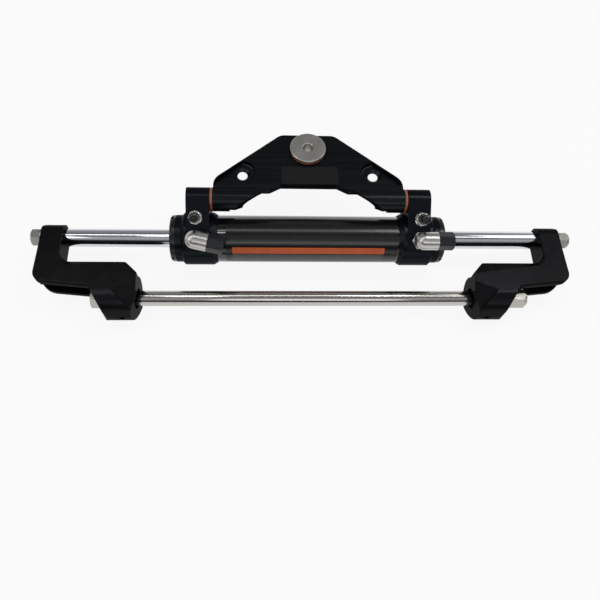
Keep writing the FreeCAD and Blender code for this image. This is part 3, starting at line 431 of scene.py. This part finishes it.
def rodOutline(radius, half, stud, leftEnd, rightEnd):
    # closed outline of a stepped rod, with a small centre hole in both ends
    hole, tip = centreHole["radius"], centreHole["tip"]
    leftTip, rightTip = centreHole["depth"] - leftEnd, rightEnd - centreHole["depth"]
    return [(leftTip, tip), (-leftEnd, hole), (-leftEnd, stud), (-half, stud), (-half, radius),
            (half, radius), (half, stud), (rightEnd, stud), (rightEnd, hole), (rightTip, tip)]


def tubeOutline(outer, half, spigot, reach, bore):
    # closed outline of a tube with a thinner spigot at both ends
    return [(-half, outer), (half, outer), (half, spigot), (reach, spigot), (reach, bore),
            (-reach, bore), (-reach, spigot), (-half, spigot)]


barrelRadius = 24.5
rodAxis = (0.0, 65.7, 9.2)
barrelAxis = (2.1, 65.7, 9.2)
turnedPieces = {
    "support_rod": dict(outline=rodOutline(7.94, 178.95, 6.2, 219.8, 229.8), centre=(0.0, 0.0, 0.0),
                        corner=0.4),
    "piston_rod": dict(outline=rodOutline(9.52, 257.55, 6.2, 284.4, 284.4), centre=rodAxis, corner=0.4),
    "barrel_tube": dict(outline=tubeOutline(barrelRadius, 94.5, 21.5, 109.95, 19.05), centre=barrelAxis,
                        corner=0.3),
}
for name, piece in turnedPieces.items():
    turned(name, **piece)
print("turned", len(turnedPieces), "pieces")


# Films that lie on the barrel and on the plate, without lettering

arcPoints = 7  # rows of points in each rounded corner


def cornerMask(rows, cols, width, height, radius):
    # points of a rounded rectangle as a grid: rows near both ends are pulled in along the corner arcs
    v = np.concatenate([radius * (1 - np.cos(np.linspace(0, math.pi / 2, arcPoints))),
                        np.linspace(radius, height - radius, rows)[1:-1],
                        height - radius * (1 - np.cos(np.linspace(math.pi / 2, 0, arcPoints)))])
    off = np.maximum(np.maximum(radius - v, v - (height - radius)), 0.0)
    inset = radius - np.sqrt(np.maximum(radius ** 2 - off ** 2, 0.0))
    u = np.linspace(0.0, 1.0, cols)
    uu = inset[:, None] + (width - 2 * inset[:, None]) * u[None, :]
    return uu, np.repeat(v[:, None], cols, axis=1)


def filmMesh(name, film, points):
    # the faces of a film's grid of points, turned so that they look outwards
    rows, cols = points.shape[:2]
    faces = gridFaces(rows, cols, False, False)[:, ::-1]
    return meshFrom(name, points.reshape(-1, 3) * mm, faces, filmMaterials[film])


def barrelFilm(name, film, x0, x1, low, high, radius, thick, slant=0.0):
    # a patch wrapped on the barrel between two angles from the top towards the front, in degrees
    r = barrelRadius + thick
    reach = math.radians(high - low) * r
    u, v = cornerMask(24, 60, x1 - x0, reach, radius)
    x = barrelAxis[0] + x0 + u - slant * v / reach * (u / (x1 - x0))
    a = math.radians(low) + v / r
    top = np.stack([x, barrelAxis[1] - r * np.sin(a), barrelAxis[2] + r * np.cos(a)], axis=-1)
    obj = filmMesh(name, film, top)
    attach(obj, "barrel")


def plateFilm(name, film, x0, x1, y0, y1, radius, z):
    # a flat patch on the plate's top face
    u, v = cornerMask(10, 30, x1 - x0, y1 - y0, radius)
    obj = filmMesh(name, film, np.stack([x0 + u, y0 + v, np.full_like(u, z)], axis=-1))
    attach(obj, "plate")


plateTop = 48.9
barrelFilms = {
    "barrel_film": dict(film="film_black", x0=-86.0, x1=93.0, low=-22.0, high=106.0, radius=3.0,
                        thick=0.04),
    "barrel_band_orange": dict(film="film_orange", x0=-79.5, x1=79.0, low=52.0, high=69.5, radius=1.2,
                               thick=0.08),
    "barrel_band_grey": dict(film="film_grey", x0=-79.0, x1=79.0, low=71.0, high=105.0, radius=0.8,
                             thick=0.08, slant=3.0),
}
plateFilms = {
    "plate_film": dict(film="film_black", x0=-25.7, x1=33.2, y0=108.4, y1=130.2, radius=1.2,
                       z=plateTop + 0.06),
}
for name, film in barrelFilms.items():
    barrelFilm(name, **film)
for name, film in plateFilms.items():
    plateFilm(name, **film)
print("films ready")


# Stage

# the photograph's view: place in metres, and the picture's right, up and forward directions
photoView = dict(place=(-0.04583, -0.26782, 0.57036), right=(0.99813, -0.02580, 0.05533),
                 up=(0.0, 0.90631, 0.42262), forward=(0.06105, 0.42183, -0.90462), sensor=36.0, lens=36.54)


def matrixFrom(right, up, back, place):
    # a placement whose columns are three directions and a place
    m = Matrix.Identity(4)
    for i in range(3):
        m[i][0], m[i][1], m[i][2], m[i][3] = right[i], up[i], back[i], place[i]
    return m


def makeCamera():
    # a camera looks along its own minus Z, so its back is minus the forward direction
    data = bpy.data.cameras.new("photoCamera")
    data.sensor_width = photoView["sensor"]
    data.lens = photoView["lens"]
    data.clip_start = 0.01
    data.clip_end = 50.0
    cam = bpy.data.objects.new("photoCamera", data)
    bpy.context.scene.collection.objects.link(cam)
    back = -np.array(photoView["forward"])
    cam.matrix_world = matrixFrom(photoView["right"], photoView["up"], back, photoView["place"])
    bpy.context.scene.camera = cam


# half the floor's side in metres, its colour, and how much of it glows where it is seen or mirrored
paper = dict(half=14.0, colour=(0.9, 0.9, 0.9, 1.0), glow=0.90)


def makeFloor():
    # a matt sheet under the lowest point, which glows to the camera and to mirrors but keeps the shadow
    size = paper["half"]
    z = cadLow.z
    mesh = bpy.data.meshes.new("floor")
    corners = [(-size, -size, z), (size, -size, z), (size, size, z), (-size, size, z)]
    mesh.from_pydata(corners, [], [(0, 1, 2, 3)])
    floor = bpy.data.objects.new("floor", mesh)
    bpy.context.scene.collection.objects.link(floor)
    m = bpy.data.materials.new("floorPaper")
    m.use_nodes = True
    t = m.node_tree
    t.nodes.clear()
    out = t.nodes.new("ShaderNodeOutputMaterial")
    matt = addNode(t, "ShaderNodeBsdfDiffuse", Color=paper["colour"])
    glow = addNode(t, "ShaderNodeEmission", Color=(1.0, 1.0, 1.0, 1.0), Strength=1.0)
    path = t.nodes.new("ShaderNodeLightPath")
    seen = math2(t, "ADD", math2(t, "ADD", path.outputs["Is Camera Ray"], path.outputs["Is Glossy Ray"]),
                 path.outputs["Is Transmission Ray"], True)
    mix = t.nodes.new("ShaderNodeMixShader")
    link(t, math2(t, "MULTIPLY", seen, paper["glow"]), mix.inputs[0])
    link(t, matt.outputs[0], mix.inputs[1])
    link(t, glow.outputs[0], mix.inputs[2])
    link(t, mix.outputs[0], out.inputs[0])
    mesh.materials.append(m)


# sky levels from front (0) over the top (0.5) to the back (1), and the pale band above the horizon
skyStops = [(0.0, 0.03), (0.055, 0.03), (0.085, 0.34), (0.20, 0.46), (0.375, 0.42), (0.405, 0.13),
            (0.60, 0.12), (0.68, 0.14), (0.80, 0.22), (0.90, 0.30), (1.0, 0.34)]
horizon = dict(level=0.82, low=0.02, high=0.13)


def makeWorld():
    # place on the ramp = half of y over the length of (y, z), plus a half
    world = bpy.data.worlds.new("studio")
    bpy.context.scene.world = world
    world.use_nodes = True
    t = world.node_tree
    t.nodes.clear()
    out = t.nodes.new("ShaderNodeOutputWorld")
    where = t.nodes.new("ShaderNodeTexCoord").outputs["Generated"]
    split = t.nodes.new("ShaderNodeSeparateXYZ")
    link(t, where, split.inputs[0])
    y, z = split.outputs["Y"], split.outputs["Z"]
    reach = math2(t, "SQRT", math2(t, "ADD", math2(t, "MULTIPLY", y, y), math2(t, "MULTIPLY", z, z)), None)
    share = math2(t, "DIVIDE", y, math2(t, "ADD", reach, 0.001))
    turn = math2(t, "ADD", math2(t, "MULTIPLY", share, 0.5), 0.5)
    ramp = t.nodes.new("ShaderNodeValToRGB")
    link(t, turn, ramp.inputs[0])
    ramp.color_ramp.elements[0].position = skyStops[0][0]
    ramp.color_ramp.elements[1].position = skyStops[-1][0]
    for place, _ in skyStops[1:-1]:
        ramp.color_ramp.elements.new(place)
    for element, (place, level) in zip(ramp.color_ramp.elements, skyStops):
        element.color = (level * 0.98, level, level * 1.04, 1.0)
    rise = t.nodes.new("ShaderNodeMapRange")
    rise.interpolation_type = "SMOOTHSTEP"
    rise.inputs[1].default_value = horizon["low"]
    rise.inputs[2].default_value = horizon["high"]
    link(t, z, rise.inputs[0])
    sky = mixColour(t, rise.outputs[0], (horizon["level"],) * 3, ramp.outputs[0])
    light = addNode(t, "ShaderNodeBackground", Strength=1.0)
    link(t, sky, light.inputs[0])
    link(t, light.outputs[0], out.inputs[0])


# level is the brightness that a mirror would show, and sizes and places are in metres
softboxes = {
    "overheadStrip": dict(place=(0.0, 0.26, 1.0), target=(0.0, 0.05, 0.0), size=(2.2, 0.13), level=3.2),
    "keyRight": dict(place=(0.44, 0.30, 1.0), target=(0.12, 0.06, 0.0), size=(0.34, 0.10), level=11.0),
    "keyLeft": dict(place=(-0.50, 0.06, 1.0), target=(-0.15, 0.02, 0.0), size=(0.26, 0.08), level=9.0),
    "rightPanel": dict(place=(1.10, 0.45, 0.75), target=(0.0, 0.05, 0.0), size=(0.55, 0.70), level=1.6),
    "leftPanel": dict(place=(-1.15, -0.15, 0.70), target=(0.0, 0.05, 0.0), size=(0.55, 0.70), level=1.8),
    "frontPanel": dict(place=(0.10, -1.05, 0.95), target=(0.0, 0.05, 0.0), size=(1.3, 0.35), level=1.6),
}


def makeLamps():
    # each lamp faces its target, and its power = level * pi * area
    for name, box in softboxes.items():
        data = bpy.data.lights.new(name, "AREA")
        data.shape = "RECTANGLE"
        data.size, data.size_y = box["size"]
        data.energy = box["level"] * math.pi * box["size"][0] * box["size"][1]
        lamp = bpy.data.objects.new(name, data)
        bpy.context.scene.collection.objects.link(lamp)
        place = np.array(box["place"])
        back = place - np.array(box["target"])
        back /= np.linalg.norm(back)
        side = np.cross((0.0, 1.0, 0.0), back)
        side /= np.linalg.norm(side)
        rise = np.cross(back, side)
        lamp.matrix_world = matrixFrom(side, rise, back, place)
        lamp.visible_camera = False


makeFloor()
makeWorld()
makeLamps()
makeCamera()
bpy.context.scene.view_settings.view_transform = "Standard"
print("stage ready")
